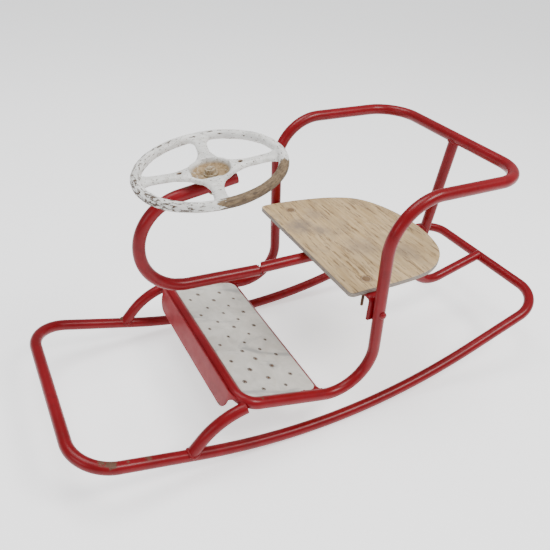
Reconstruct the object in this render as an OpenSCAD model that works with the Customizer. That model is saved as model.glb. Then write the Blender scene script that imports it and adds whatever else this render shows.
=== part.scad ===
// Rocking seat with a steering wheel: bent-tube frame on two rocker rails.
// Millimetres. Front is -Y, the rider's left is +X, the floor is z = 0.

/* [Tube] */
// Outside diameter of every frame tube
tube_od = 22; // [18:0.5:30]
// Wall thickness of every frame tube
tube_wall = 2; // [1.5:0.1:3]
// Half the distance between the two side tube centre lines
half_w = 198; // [150:1:260]

/* [Rocker frame] */
// Radius of the rocker arc, centre line
rock_r = 1045; // [700:5:1600]
// Slope of the straight front part of the rail, degrees
rock_front_deg = 19.45; // [8:0.05:26]
// Slope of the straight rear part of the rail, degrees
rock_rear_deg = 15.6; // [8:0.05:24]
// Front bar distance ahead of the arc's lowest point
rock_front = 548; // [420:1:700]
// Rear bar distance behind the arc's lowest point
rock_rear = 478; // [360:1:620]
// Bend radius at the four corners
rock_corner = 70; // [45:1:110]

// Forward tip that puts the empty part's weight over its floor contact, degrees
rest_deg = 4.565; // [-8:0.005:8]

/* [Seat frame] */
// Front run position along Y
run_y = -262; // [-330:1:-200]
// Front run height
run_z = 150; // [110:1:200]
// Slope of the foot rails, degrees
foot_deg = 19.03; // [5:0.01:24]
// Y of the corner where foot rail and upright meet
heel_y = 9; // [-40:1:60]
// Upright lean, degrees
upright_deg = 1.1; // [0:0.1:6]
// Height of the corner where upright and arm meet
arm_z = 468.5; // [400:0.5:560]
// Y of the backrest bar
back_y = 319.5; // [260:0.5:380]
// Height of the backrest bar
back_z = 446; // [380:1:540]
// Bend radius at the front corners
run_bend = 35; // [28:1:60]
// Bend radius from foot rail to upright
heel_bend = 81; // [50:1:100]
// Bend radius from upright to arm
arm_bend = 93; // [50:1:120]
// Bend radius at the backrest corners
back_bend = 72; // [45:1:110]

/* [Struts] */
// Y where the strut meets the rocker rail
strut_y = -364; // [-420:1:-330]
// Slope of the strut's lower end, degrees
strut_deg = 46; // [30:1:60]
// Bend radius of the strut
strut_bend = 130; // [80:1:180]

/* [Middle tubes] */
// Steering column bend radius
col_bend = 89; // [60:1:120]
// Y of the column bend centre
col_y = -262; // [-300:1:-220]
// Height of the column bend centre
col_z = 373; // [330:1:420]
// Downward slope of the column's lower leg, degrees
col_low_deg = 7; // [0:0.5:15]
// Upward slope of the column's upper leg, degrees
col_top_deg = 5.5; // [0:0.5:30]
// Y of the upper leg's cut end
col_end_y = -168; // [-190:1:-120]
// Y of the joint between column and spine
joint_y = -126.5; // [-170:0.5:-60]
// Height above the column's middle where the mouth at its end begins
notch_s = 2; // [-6:0.5:9]
// Back post bend radius
post_bend = 72; // [50:1:90]
// Y of the back post at the height of the seat joint
post_y = 302; // [270:1:340]
// Y shift of the back post per millimetre of height
post_lean = 0.2; // [0:0.01:0.4]
// Height of the rear leg of the back post at Y 359
leg_z = 90.5; // [70:0.5:120]
// Rise of the rear leg per millimetre
leg_rise = 0.19; // [0:0.01:0.4]

/* [Seat] */
// Height of the seat's top above the crossbar's middle
seat_z = 286.3; // [240:0.1:340]
// Y of the crossbar's middle
bar_y = 13; // [-20:1:60]
// Slope of the seat towards the back, degrees
seat_deg = 4.3; // [0:0.1:10]
// Seat board thickness
seat_t = 10; // [8:0.5:20]
// Distance of the front edge ahead of the crossbar
seat_front = 46; // [30:1:90]
// Right and left sides of the seat at its front corners
seat_rt = 171; // [160:0.5:180]
seat_lt = -182.5; // [-185:0.5:-160]
// Crossbar thickness
bar_t = 6; // [4:0.5:10]
// Crossbar width
bar_w = 25; // [20:1:40]
// Crossbar leg length
bar_leg = 48; // [35:1:70]
// Seat bolt distance from the middle
bolt_x = 142; // [100:0.5:165]
// Seat bolt distance behind the crossbar's middle
bolt_v = 7; // [0:0.5:12]
// Seat bolt diameter
bolt_d = 6; // [5:0.5:10]
// Seat bolt length under the head
bolt_l = 60; // [45:1:80]

/* [Footplate] */
// Plate thickness
plate_t = 2; // [1.5:0.1:4]
// Rear edge distance behind the front run
plate_u = 165; // [120:1:200]
// Hole diameter
hole_d = 4.5; // [3:0.5:8]
// Skirt depth below the tube's middle
skirt_h = 41; // [20:1:60]
// Skirt sheet thickness
skirt_t = 2; // [1.5:0.1:3]

/* [Steering wheel] */
// Wheel outside radius
wheel_r = 130.8; // [100:0.1:160]
// Rim section radius
rim_r = 9; // [7:0.5:12]
// Rim middle height above the column's upper leg, centre line
rim_h = 32.7; // [30:0.1:45]
// Turn of the spokes from the side-to-side line, degrees
spoke_deg = -13; // [-45:1:45]
// Hub recess radius
hub_r = 35.7; // [30:0.1:40]
// Spoke thickness
spoke_t = 9; // [7:0.5:14]
// Spindle diameter
spin_d = 10; // [8:0.5:14]
// Running clearance of the bush on the spindle, each side
run_gap = 0.07; // [0.03:0.01:0.1]
// Bush outside diameter
bush_d = 15; // [13:0.5:20]

/* [Hidden] */
$fn = 48;
ro = tube_od/2;
ri = ro - tube_wall;
rc = ro + 0.12;
red = [0.66,0.10,0.14];
steel = [0.35,0.33,0.32];

// rocker rail corners
zf = ro + rock_r*(1-cos(rock_front_deg)) + tan(rock_front_deg)*(rock_front-rock_r*sin(rock_front_deg));
zr = ro + rock_r*(1-cos(rock_rear_deg)) + tan(rock_rear_deg)*(rock_rear-rock_r*sin(rock_rear_deg));
yv = (zf-tan(rock_front_deg)*rock_front-zr+tan(rock_rear_deg)*rock_rear)/(tan(rock_rear_deg)+tan(rock_front_deg));
zv = zf-tan(rock_front_deg)*(yv+rock_front);
rock_path = [[0.12,-rock_front,zf],[half_w,-rock_front,zf],[half_w,yv,zv],[half_w,rock_rear,zr],
 [-half_w,rock_rear,zr],[-half_w,yv,zv],[-half_w,-rock_front,zf],[-0.12,-rock_front,zf]];
rock_radii = [0,rock_corner,rock_r,rock_corner,rock_corner,rock_r,rock_corner,0];

// the whole part rolls forward on its rockers by rest_deg, then its box is centred on Y
rock_c = rock_r+ro;
rest_y = (-rock_front*cos(rest_deg)-(zf-rock_c)*sin(rest_deg)+rock_rear*cos(rest_deg)-(zr-rock_c)*sin(rest_deg))/2;
module rest() translate([0,-rest_y,rock_c]) rotate([rest_deg,0,0]) translate([0,0,-rock_c]) children();

// seat frame corners
heel_z = run_z-tan(foot_deg)*(heel_y-run_y);
arm_y = heel_y+tan(upright_deg)*(arm_z-heel_z);
seat_path = [[0.12,run_y,run_z],[half_w,run_y,run_z],[half_w,heel_y,heel_z],[half_w,arm_y,arm_z],
 [half_w,back_y,back_z],[-half_w,back_y,back_z],[-half_w,arm_y,arm_z],[-half_w,heel_y,heel_z],
 [-half_w,run_y,run_z],[-0.12,run_y,run_z]];
seat_radii = [0,run_bend,heel_bend,arm_bend,back_bend,back_bend,arm_bend,heel_bend,run_bend,0];

// strut: lower end on the rail, upper end level with the seat frame corner
strut_z = zf-tan(rock_front_deg)*(strut_y+rock_front);
sk = tan(strut_deg);
strut_top = run_z-10;
sv = [ (strut_top-0.06*run_y-strut_z+sk*strut_y)/(sk-0.06), 0 ];
sv_z = strut_z+sk*(sv[0]-strut_y);
strut_end = run_y+10;

// middle tubes
cl = tan(col_low_deg);
ct = tan(col_top_deg);
c_front = col_y-col_bend;
function low_z(y) = col_z-1-col_bend/cos(col_low_deg)-cl*(y-col_y);
function top_z(y) = col_z+1+col_bend/cos(col_top_deg)+ct*(y-col_y);
function spine_z(y) = seat_z-(seat_t+bar_t+ro)/cos(seat_deg)-tan(seat_deg)*(y-bar_y);
pv_z = (leg_z+leg_rise*(post_y-353.3*post_lean-359))/(1-leg_rise*post_lean);
pv_y = post_y+post_lean*(pv_z-353.3);
spine_end = (post_y+post_lean*(spine_z(0)-353.3))/(1+post_lean*tan(seat_deg));

// wheel axis foot on the column's upper leg
wy = col_y+51.06*cos(col_top_deg);
wz = top_z(col_y)+51.06*sin(col_top_deg);
low_w = ro+2;          // top of the lower washer
hub_z = low_w+0.3;     // underside of the hub
floor_z = hub_z+6.5;   // recess floor
bush_top = floor_z+0.8;
upw_z = bush_top+0.3;

function unit(v) = v/norm(v);
module frame(o,x,y,z) multmatrix([[x[0],y[0],z[0],o[0]],[x[1],y[1],z[1],o[1]],[x[2],y[2],z[2],o[2]],[0,0,0,1]]) children();
function perp(z) = let(a=abs(z[0])<0.9?[1,0,0]:[0,1,0]) unit(cross(z,a));
module annulus(a,b) { if (b > 0) difference() { circle(r=a); circle(r=b); } else circle(r=a); }
module straight(a,b,p,q) { z=unit(b-a); x=perp(z); y=cross(z,x); frame(a,x,y,z) linear_extrude(height=norm(b-a)) annulus(p,q); }
function tl(p,i,R) = let(u=unit(p[i]-p[i-1]),v=unit(p[i+1]-p[i])) R*tan(acos(u*v)/2);
module bend(a,b,c,R,p,q) {
 u=unit(b-a); v=unit(c-b); phi=acos(u*v);
 cen=b+R/cos(phi/2)*unit(v-u); n=unit(cross(u,v)); st=b-u*R*tan(phi/2); x=unit(st-cen);
 frame(cen,x,cross(n,x),n) rotate_extrude(angle=phi,$fn=R>300?720:48) translate([R,0]) annulus(p,q);
}
module ring(a,z,p,q) { x=perp(z); y=cross(z,x); frame(a-z*0.5,x,y,z) linear_extrude(height=1) annulus(p+0.03,q>0?q-0.03:0); }
module tube(p,R,a,b) {
 n=len(p);
 union() {
  for (i=[1:n-2]) bend(p[i-1],p[i],p[i+1],R[i],a,b);
  for (i=[0:n-2]) straight(p[i]+(i==0?[0,0,0]:unit(p[i+1]-p[i])*tl(p,i,R[i])),
                           p[i+1]-(i==n-2?[0,0,0]:unit(p[i+1]-p[i])*tl(p,i+1,R[i+1])),a,b);
  for (i=[1:n-2]) {
   ring(p[i]-unit(p[i]-p[i-1])*tl(p,i,R[i]),unit(p[i]-p[i-1]),a,b);
   ring(p[i]+unit(p[i+1]-p[i])*tl(p,i,R[i]),unit(p[i+1]-p[i]),a,b);
  }
 }
}
// local frames: footplate plane, seat plane, wheel
module foot_frame() frame([0,run_y,run_z],[1,0,0],[0,cos(foot_deg),-sin(foot_deg)],[0,sin(foot_deg),cos(foot_deg)]) children();
module seat_plane() frame([0,bar_y,seat_z],[1,0,0],[0,cos(seat_deg),-sin(seat_deg)],[0,sin(seat_deg),cos(seat_deg)]) children();
module wheel_frame() frame([0,wy,wz],[1,0,0],[0,cos(col_top_deg),sin(col_top_deg)],[0,-sin(col_top_deg),cos(col_top_deg)]) children();
module both() { children(); mirror([1,0,0]) children(); }

module rocker_frame() rest() color(red) difference() {
 tube(rock_path,rock_radii,ro,0);
 tube(rock_path,rock_radii,ri,0);
}

module seat_frame() rest() color(red) difference() {
 tube(seat_path,seat_radii,ro,0);
 tube(seat_path,seat_radii,ri,0);
 for (s=[-1,1]) translate([s*half_w,bar_y-0.4,seat_z-36.3]) rotate([0,90,0]) cylinder(d=bolt_d+0.2,h=40,center=true,$fn=32);
}

module strut() color(red) difference() {
 tube([[half_w,strut_y,strut_z],[half_w,sv[0],sv_z],[half_w,strut_end,sv_z+0.06*(strut_end-sv[0])]],[0,strut_bend,0],ro,ri);
 straight([half_w,-rock_front+90,zf-90*tan(rock_front_deg)],[half_w,strut_y+120,strut_z-120*tan(rock_front_deg)],rc,0);
 bend(seat_path[0],seat_path[1],seat_path[2],run_bend,rc,0);
}
module left_strut() rest() strut();
module right_strut() rest() mirror([1,0,0]) strut();

module steering_column() rest() color(red) difference() {
 tube([[0,joint_y+4,low_z(joint_y+4)],[0,c_front,low_z(c_front)],[0,c_front,top_z(c_front)],[0,col_end_y,top_z(col_end_y)]],[0,col_bend,col_bend,0],ro,ri);
 translate([0,joint_y+1.3,spine_z(joint_y+1.6)]) rotate([-seat_deg,0,0]) translate([-20,0,-20]) cube([40,20,40]);
 // mitred top corner of the cut end, leaning to the rider's right
 translate([0,joint_y,low_z(joint_y)]) rotate([0,-36,0]) translate([0,0,notch_s]) rotate([47.4,0,0]) translate([-20,0,-30]) cube([40,30,60]);
 wheel_frame() cylinder(d=spin_d+0.2,h=50,center=true,$fn=32);
}

module spine_tube() rest() color(red) difference() {
 straight([0,joint_y+1.6,spine_z(joint_y+1.6)],[0,spine_end,spine_z(spine_end)],ro,ri);
 straight([0,post_y+post_lean*-180,173.3],[0,post_y,353.3],rc,0);
}

module back_post() rest() color(red) difference() {
 tube([[0,post_y+post_lean*(back_z-353.3),back_z],[0,pv_y,pv_z],[0,rock_rear,leg_z+leg_rise*(rock_rear-359)]],[0,post_bend,0],ro,ri);
 straight([-40,back_y,back_z],[40,back_y,back_z],rc,0);
 straight([-40,rock_rear,zr],[40,rock_rear,zr],rc,0);
 translate([-20,rock_rear,zr-30]) cube([40,30,80]);
 translate([-20,back_y-30,back_z]) cube([40,70,30]);
}

bar_half = half_w-ro-0.05;
bolt_xs = [-bolt_x,bolt_x];
module seat_crossbar() rest() color(red) seat_plane() difference() {
 union() {
  translate([-(bar_half-10),-bar_w/2,-seat_t-bar_t]) cube([2*(bar_half-10),bar_w,bar_t]);
  both() translate([bar_half-bar_t,-bar_w/2,-seat_t-bar_leg]) cube([bar_t,bar_w,bar_leg-10]);
  both() translate([bar_half-10,bar_w/2,-seat_t-10]) rotate([90,0,0]) rotate_extrude(angle=90) translate([10-bar_t,0]) square([bar_t,bar_w]);
 }
 for (x=bolt_xs) translate([x,bolt_v,-seat_t-bar_t/2]) cylinder(d=bolt_d+0.2,h=bar_t+2,center=true,$fn=32);
 for (s=[-1,1]) translate([s*(bar_half-bar_t/2),2.32,-36.23]) rotate([0,90,0]) cylinder(d=bolt_d+0.2,h=bar_t+2,center=true,$fn=32);
}

// outline of the hand-cut seat board, x and v, from its right front corner round the back
seat_edge = [[seat_rt,-34],[170.8,-10],[171,15],[171.8,40],[171.8,63],[170,100],[166.7,127],[159.7,150],[146,175],[124.5,199],[98,215.5],[62,226],[23,230.3],
 [-10,229.5],[-38,224.9],[-65.6,218],[-90.5,208.8],[-113,197],[-131.7,182.8],[-146.5,165],[-156.5,144],[-164.5,122],[-170.5,99],[-174.7,75],[-178.2,51],[-180.6,27],[-182.2,3],[-182.7,-20],[seat_lt,-36]];
function cr(a,b,c,d,t) = 0.5*(2*b+(c-a)*t+(2*a-5*b+4*c-d)*t*t+(3*b-a-3*c+d)*t*t*t);
seat_line = [for (i=[0:len(seat_edge)-2]) for (k=[0:2]) cr(seat_edge[max(0,i-1)],seat_edge[i],seat_edge[i+1],seat_edge[min(len(seat_edge)-1,i+2)],k/3)];
module seat_board() rest() color([0.78,0.70,0.55]) seat_plane() difference() {
 translate([0,0,-seat_t]) linear_extrude(height=seat_t) polygon(concat(seat_line,[seat_edge[len(seat_edge)-1]],
  [for (i=[1:9]) [seat_lt+10-10*cos(i*10),-seat_front+10-10*sin(i*10)]],
  [for (i=[0:8]) [seat_rt-10+10*sin(i*10),-seat_front+10-10*cos(i*10)]]));
 for (x=bolt_xs) translate([x,bolt_v,-seat_t/2]) cylinder(d=bolt_d+0.2,h=seat_t+2,center=true,$fn=32);
 for (x=bolt_xs) translate([x,bolt_v,-4.3]) cylinder(r1=3.2,r2=7.7,h=4.5,$fn=48);
}

// countersunk bolt, sunk just under z = 0
module sunk_bolt(d,l) rotate_extrude($fn=48) polygon([[0,-l],[d/2-0.6,-l],[d/2,-l+0.6],[d/2,-4.3],[6.7,-0.6],[6.7,-0.3],[0,-0.3]]);
// round-headed bolt, head above z = 0
module bolt(hd,hh,d,l) rotate_extrude($fn=48) polygon([[0,-l],[d/2-0.6,-l],[d/2,-l+0.6],[d/2,0],[hd/2,0],
 [hd/2,hh*0.25],[hd*0.43,hh*0.6],[hd*0.3,hh*0.86],[hd*0.15,hh*0.97],[0,hh]]);
module washer(od,id,t) rotate_extrude($fn=48) translate([id/2,0]) square([(od-id)/2,t]);
module nut(af,d,h) difference() {
 intersection() { cylinder(d=af/cos(30),h=h,$fn=6); rotate_extrude($fn=48) polygon([[0,0],[af*0.5,0],[af/cos(30)/2,h*0.15],[af/cos(30)/2,h*0.85],[af*0.5,h],[0,h]]); }
 translate([0,0,-1]) cylinder(d=d,h=h+2,$fn=32);
}

module seat_bolts() rest() color(steel) seat_plane() for (x=bolt_xs) translate([x,bolt_v,0]) sunk_bolt(bolt_d,bolt_l);
module seat_bolt_washers() rest() color(steel) seat_plane() for (x=bolt_xs) translate([x,bolt_v,-seat_t-bar_t-1.5]) washer(14,bolt_d,1.5);
module seat_bolt_nuts() rest() color(steel) seat_plane() for (x=bolt_xs) translate([x,bolt_v,-seat_t-bar_t-6.5]) nut(10,bolt_d,5);

module side_bolt_frame() frame([half_w+ro,bar_y-0.4,seat_z-36.3],[0,1,0],[0,0,1],[1,0,0]) children();
module crossbar_bolts() rest() color(red) both() side_bolt_frame() bolt(14,5,bolt_d,tube_od+bar_t+10);
module crossbar_bolt_washers() rest() color(steel) both() side_bolt_frame() translate([0,0,-tube_od-bar_t-1.6]) washer(14,bolt_d,1.5);
module crossbar_bolt_nuts() rest() color(steel) both() side_bolt_frame() translate([0,0,-tube_od-bar_t-6.7]) nut(10,bolt_d,5);

// footplate: lies between the rails on the strip, corners rounded to the bends
plate_half = half_w-sqrt(ro*ro-(6-plate_t)*(6-plate_t))-0.1;
plate_f = half_w-plate_half;
plate_r = run_bend-plate_f;
// punched holes, by hand in five staggered rows: x, u
holes = [[-120,29],[-63,30],[-15,29],[38,28],[88,29],[147,28.6],
 [-140,55],[-89,56],[-38,57],[13,58],[61,66],[116,55.4],[171,56],
 [-117,83],[-68,84],[-18,85.4],[35,84],[86.3,82.4],[142.9,81.2],
 [-147,110],[-95,109],[-44,108],[8,108],[59,107],[110.8,106.7],[167,106.3],
 [-122,134],[-70,133.7],[-20,134.2],[30,135],[78.8,134.6],[139,133.1]];
module footplate() rest() color([0.78,0.77,0.74]) foot_frame() difference() {
 translate([0,0,6-plate_t]) linear_extrude(height=plate_t) union() {
  translate([-plate_half,plate_f+plate_r]) square([2*plate_half,plate_u-plate_f-plate_r-16]);
  translate([-plate_half+plate_r,plate_f]) square([2*plate_half-2*plate_r,plate_r+1]);
  translate([-plate_half+16,plate_u-17]) square([2*plate_half-32,17]);
  for (s=[-1,1]) translate([s*(plate_half-plate_r),plate_f+plate_r]) circle(r=plate_r,$fn=64);
  for (s=[-1,1]) translate([s*(plate_half-16),plate_u-16]) circle(r=16,$fn=64);
 }
 for (p=holes) translate([p[0],p[1],0]) cylinder(d=hole_d,h=12,$fn=16);
}

strip_half = half_w-ro-0.1;
module footplate_strip() rest() color(red) foot_frame() translate([0,0,6-plate_t-4]) linear_extrude(height=4)
 polygon([[-strip_half,plate_u-36],[-strip_half+16,plate_u-18],[strip_half-16,plate_u-18],[strip_half,plate_u-36],
  [strip_half,plate_u+13],[strip_half-7,plate_u+7],[-strip_half+7,plate_u+7],[-strip_half,plate_u+13]]);

// skirt: sheet bent round the front of the seat frame, held to the tube's front
skirt_in = ro+0.1;
skirt_a = asin((half_w-ro-1.5-(half_w-run_bend))/(run_bend+skirt_in+skirt_t));
skirt_r = 28;
skirt_half = half_w-run_bend;
module front_skirt() rest() color([0.72,0.20,0.22]) foot_frame() union() {
 translate([0,-skirt_in,0]) rotate([90,0,0]) linear_extrude(height=skirt_t) union() {
  translate([-skirt_half+skirt_r,-skirt_h]) square([2*skirt_half-2*skirt_r,skirt_r+1]);
  translate([-skirt_half-0.05,-skirt_h+skirt_r]) square([2*skirt_half+0.1,skirt_h-skirt_r+5]);
  for (s=[-1,1]) translate([s*(skirt_half-skirt_r),-skirt_h+skirt_r]) circle(r=skirt_r,$fn=96);
 }
 both() translate([skirt_half,run_bend,-skirt_h+skirt_r]) rotate([0,0,-90]) rotate_extrude(angle=skirt_a,$fn=96)
  translate([run_bend+skirt_in,0]) square([skirt_t,skirt_h-skirt_r+5]);
}

// wheel: rim, hub and four spokes flared at both ends
rim_c = wheel_r-rim_r;
module spoke() {
 r0 = 30; r1 = rim_c-3;
 translate([0,0,rim_h-rim_r*0.55-spoke_t/2]) linear_extrude(height=spoke_t) polygon(concat(
  [for (i=[0:12]) let(t=i/12) [r0+(r1-r0)*t, 10.5+12*pow(abs(1-t*1.35),2.2)*(t<0.74?1:0)+(t>0.6?16*pow((t-0.6)/0.4,2.4):0)]],
  [for (i=[12:-1:0]) let(t=i/12) [r0+(r1-r0)*t, -(10.5+12*pow(abs(1-t*1.35),2.2)*(t<0.74?1:0)+(t>0.6?16*pow((t-0.6)/0.4,2.4):0))]]));
}
module steering_wheel() rest() color([0.85,0.84,0.80]) wheel_frame() difference() {
 union() {
  translate([0,0,rim_h]) rotate_extrude($fn=96) translate([rim_c,0]) circle(r=rim_r,$fn=32);
  rotate_extrude($fn=96) polygon([[bush_d/2,hub_z],[21,hub_z],[27,hub_z+3],[hub_r+4.5,rim_h-9.5],[hub_r+5.5,rim_h-6],
   [hub_r+4,rim_h-2],[hub_r+1.5,rim_h-1],[hub_r-1,rim_h-2.5],[hub_r-5,rim_h-8],[24,floor_z+1],[21,floor_z],[bush_d/2,floor_z]]);
  for (a=[0:90:270]) rotate([0,0,spoke_deg+a]) difference() { spoke(); translate([0,0,rim_h]) cylinder(r=hub_r+1,h=60,center=true,$fn=96); }
 }
 for (a=[90,270]) rotate([0,0,spoke_deg+a]) translate([51,0,rim_h-rim_r*0.55]) cylinder(d=5.5,h=spoke_t+6,center=true,$fn=24);
}
module wheel_bush() rest() color([0.45,0.36,0.22]) wheel_frame() translate([0,0,hub_z]) washer(bush_d,spin_d+2*run_gap,bush_top-hub_z);
module wheel_spindle() rest() color(steel) wheel_frame() mirror([0,0,1]) translate([0,0,ro]) bolt(20,6,spin_d,ro+upw_z+12);
module lower_wheel_washer() rest() color(steel) wheel_frame() translate([0,0,ro]) washer(30,spin_d,2);
module upper_wheel_washer() rest() color(steel) wheel_frame() translate([0,0,upw_z]) washer(24,spin_d,2);
module spindle_nut() rest() color(steel) wheel_frame() translate([0,0,upw_z+2]) nut(17,spin_d,8);

rocker_frame();
seat_frame();
left_strut();
right_strut();
steering_column();
spine_tube();
back_post();
seat_crossbar();
seat_board();
seat_bolts();
seat_bolt_washers();
seat_bolt_nuts();
crossbar_bolts();
crossbar_bolt_washers();
crossbar_bolt_nuts();
footplate();
footplate_strip();
front_skirt();
steering_wheel();
wheel_bush();
wheel_spindle();
lower_wheel_washer();
upper_wheel_washer();
spindle_nut();
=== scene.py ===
import bpy, bmesh, math, random
from mathutils import Vector, Matrix, noise


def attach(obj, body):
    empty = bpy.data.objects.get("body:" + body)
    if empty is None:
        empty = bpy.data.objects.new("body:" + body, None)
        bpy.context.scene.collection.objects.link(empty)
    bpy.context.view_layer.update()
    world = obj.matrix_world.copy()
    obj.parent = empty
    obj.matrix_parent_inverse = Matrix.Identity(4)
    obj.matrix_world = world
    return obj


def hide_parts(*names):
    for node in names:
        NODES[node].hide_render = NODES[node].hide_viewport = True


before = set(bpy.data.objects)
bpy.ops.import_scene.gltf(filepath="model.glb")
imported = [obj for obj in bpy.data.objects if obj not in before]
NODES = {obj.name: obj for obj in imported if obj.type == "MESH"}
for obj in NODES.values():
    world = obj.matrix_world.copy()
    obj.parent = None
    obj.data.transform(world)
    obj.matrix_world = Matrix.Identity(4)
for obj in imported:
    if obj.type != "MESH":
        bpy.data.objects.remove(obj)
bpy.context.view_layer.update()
rnd = random.Random(7)

# ---------------------------------------------------------------- sizes, mm, as in the CAD
RO, WALL, HW = 11.0, 2.0, 198.0
ROCK_R, FD, RD, RF, RR, RC = 1045.0, 19.45, 15.6, 548.0, 478.0, 70.0
REST = 4.565
RUN_Y, RUN_Z, FOOT, HEEL_Y, UPD, ARM_Z = -262.0, 150.0, 19.03, 9.0, 1.1, 468.5
BACK_Y, BACK_Z = 319.5, 446.0
SEAT_Z, BAR_Y, SEAT_D, SEAT_T, BAR_T = 286.3, 13.0, 4.3, 10.0, 6.0


def rad(d): return math.radians(d)
def tan(d): return math.tan(rad(d))
def sin(d): return math.sin(rad(d))
def cos(d): return math.cos(rad(d))


ZF = RO + ROCK_R * (1 - cos(FD)) + tan(FD) * (RF - ROCK_R * sin(FD))
ZR = RO + ROCK_R * (1 - cos(RD)) + tan(RD) * (RR - ROCK_R * sin(RD))
YV = (ZF - tan(FD) * RF - ZR + tan(RD) * RR) / (tan(RD) + tan(FD))
ZV = ZF - tan(FD) * (YV + RF)
ROCK_C = ROCK_R + RO
REST_Y = (-RF * cos(REST) - (ZF - ROCK_C) * sin(REST) + RR * cos(REST) - (ZR - ROCK_C) * sin(REST)) / 2
M_REST = (Matrix.Scale(0.001, 4) @ Matrix.Translation((0, -REST_Y, ROCK_C))
          @ Matrix.Rotation(rad(REST), 4, 'X') @ Matrix.Translation((0, 0, -ROCK_C)))
HEEL_Z = RUN_Z - tan(FOOT) * (HEEL_Y - RUN_Y)
ARM_Y = HEEL_Y + tan(UPD) * (ARM_Z - HEEL_Z)
CY, CZ, CB, CLD, CTD = -262.0, 373.0, 89.0, 7.0, 5.5
C_FRONT = CY - CB


def low_z(y): return CZ - 1 - CB / cos(CLD) - tan(CLD) * (y - CY)
def top_z(y): return CZ + 1 + CB / cos(CTD) + tan(CTD) * (y - CY)
def spine_z(y): return SEAT_Z - (SEAT_T + BAR_T + RO) / cos(SEAT_D) - tan(SEAT_D) * (y - BAR_Y)


WY = CY + 51.06 * cos(CTD)
WZ = top_z(CY) + 51.06 * sin(CTD)


def axes(o, x, y, z):
    return Matrix(((x[0], y[0], z[0], o[0]), (x[1], y[1], z[1], o[1]), (x[2], y[2], z[2], o[2]), (0, 0, 0, 1)))


M_FOOT = axes((0, RUN_Y, RUN_Z), (1, 0, 0), (0, cos(FOOT), -sin(FOOT)), (0, sin(FOOT), cos(FOOT)))
M_SEAT = axes((0, BAR_Y, SEAT_Z), (1, 0, 0), (0, cos(SEAT_D), -sin(SEAT_D)), (0, sin(SEAT_D), cos(SEAT_D)))
M_WHEEL = axes((0, WY, WZ), (1, 0, 0), (0, cos(CTD), sin(CTD)), (0, -sin(CTD), cos(CTD)))
ID = Matrix.Identity(4)


# ---------------------------------------------------------------- materials
def mat_new(name):
    m = bpy.data.materials.new(name)
    m.use_nodes = True
    nt = m.node_tree
    nt.nodes.clear()
    out = nt.nodes.new("ShaderNodeOutputMaterial")
    b = nt.nodes.new("ShaderNodeBsdfPrincipled")
    nt.links.new(b.outputs["BSDF"], out.inputs["Surface"])
    return m, nt, b


class G:
    """short calls for building a node graph"""

    def __init__(self, nt):
        self.nt = nt
        self.co = nt.nodes.new("ShaderNodeTexCoord").outputs["Object"]

    def n(self, kind, **kw):
        node = self.nt.nodes.new(kind)
        for k, v in kw.items():
            setattr(node, k, v)
        return node

    def link(self, a, b):
        self.nt.links.new(a, b)

    def mapped(self, loc=(0, 0, 0), rot=(0, 0, 0), scale=(1, 1, 1), co=None):
        m = self.n("ShaderNodeMapping")
        m.inputs["Location"].default_value = loc
        m.inputs["Rotation"].default_value = rot
        m.inputs["Scale"].default_value = scale
        self.link(co or self.co, m.inputs["Vector"])
        return m.outputs["Vector"]

    def noise(self, scale, detail=4.0, rough=0.55, dist=0.0, co=None):
        t = self.n("ShaderNodeTexNoise")
        t.inputs["Scale"].default_value = scale
        t.inputs["Detail"].default_value = detail
        t.inputs["Roughness"].default_value = rough
        t.inputs["Distortion"].default_value = dist
        self.link(co or self.co, t.inputs["Vector"])
        return t.outputs["Fac"]

    def ramp(self, fac, stops, interp="LINEAR"):
        r = self.n("ShaderNodeValToRGB")
        r.color_ramp.interpolation = interp
        e = r.color_ramp.elements
        while len(e) < len(stops):
            e.new(0.5)
        for i, (p, c) in enumerate(stops):
            e[i].position = p
            e[i].color = (c, c, c, 1) if isinstance(c, (int, float)) else (*c, 1)
        self.link(fac, r.inputs["Fac"])
        return r.outputs["Color"]

    def math(self, op, a, b=None, clamp=False):
        m = self.n("ShaderNodeMath", operation=op)
        m.use_clamp = clamp
        for i, v in enumerate((a, b)):
            if v is None:
                continue
            if isinstance(v, (int, float)):
                m.inputs[i].default_value = v
            else:
                self.link(v, m.inputs[i])
        return m.outputs[0]

    def mix(self, fac, a, b, mode="MIX"):
        m = self.n("ShaderNodeMix", data_type="RGBA", blend_type=mode)
        for s, v in ((m.inputs[0], fac), (m.inputs[6], a), (m.inputs[7], b)):
            if isinstance(v, (int, float)):
                s.default_value = v
            elif isinstance(v, tuple):
                s.default_value = (*v, 1)
            else:
                self.link(v, s)
        return m.outputs[2]

    def bump(self, height, strength, dist, normal=None):
        b = self.n("ShaderNodeBump")
        b.inputs["Strength"].default_value = strength
        b.inputs["Distance"].default_value = dist
        self.link(height, b.inputs["Height"])
        if normal:
            self.link(normal, b.inputs["Normal"])
        return b.outputs["Normal"]

    def near(self, p, r0, r1):
        """1 within r0 of point p, falling to 0 at r1"""
        d = self.n("ShaderNodeVectorMath", operation="DISTANCE")
        self.link(self.co, d.inputs[0])
        d.inputs[1].default_value = p
        m = self.n("ShaderNodeMapRange")
        m.inputs["From Min"].default_value = r0
        m.inputs["From Max"].default_value = r1
        m.inputs["To Min"].default_value = 1
        m.inputs["To Max"].default_value = 0
        self.link(d.outputs["Value"], m.inputs["Value"])
        return m.outputs["Result"]


def P(x, y, z):
    """a point of the untipped design, mm, to the row frame in metres"""
    return M_REST @ Vector((x, y, z))


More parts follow.
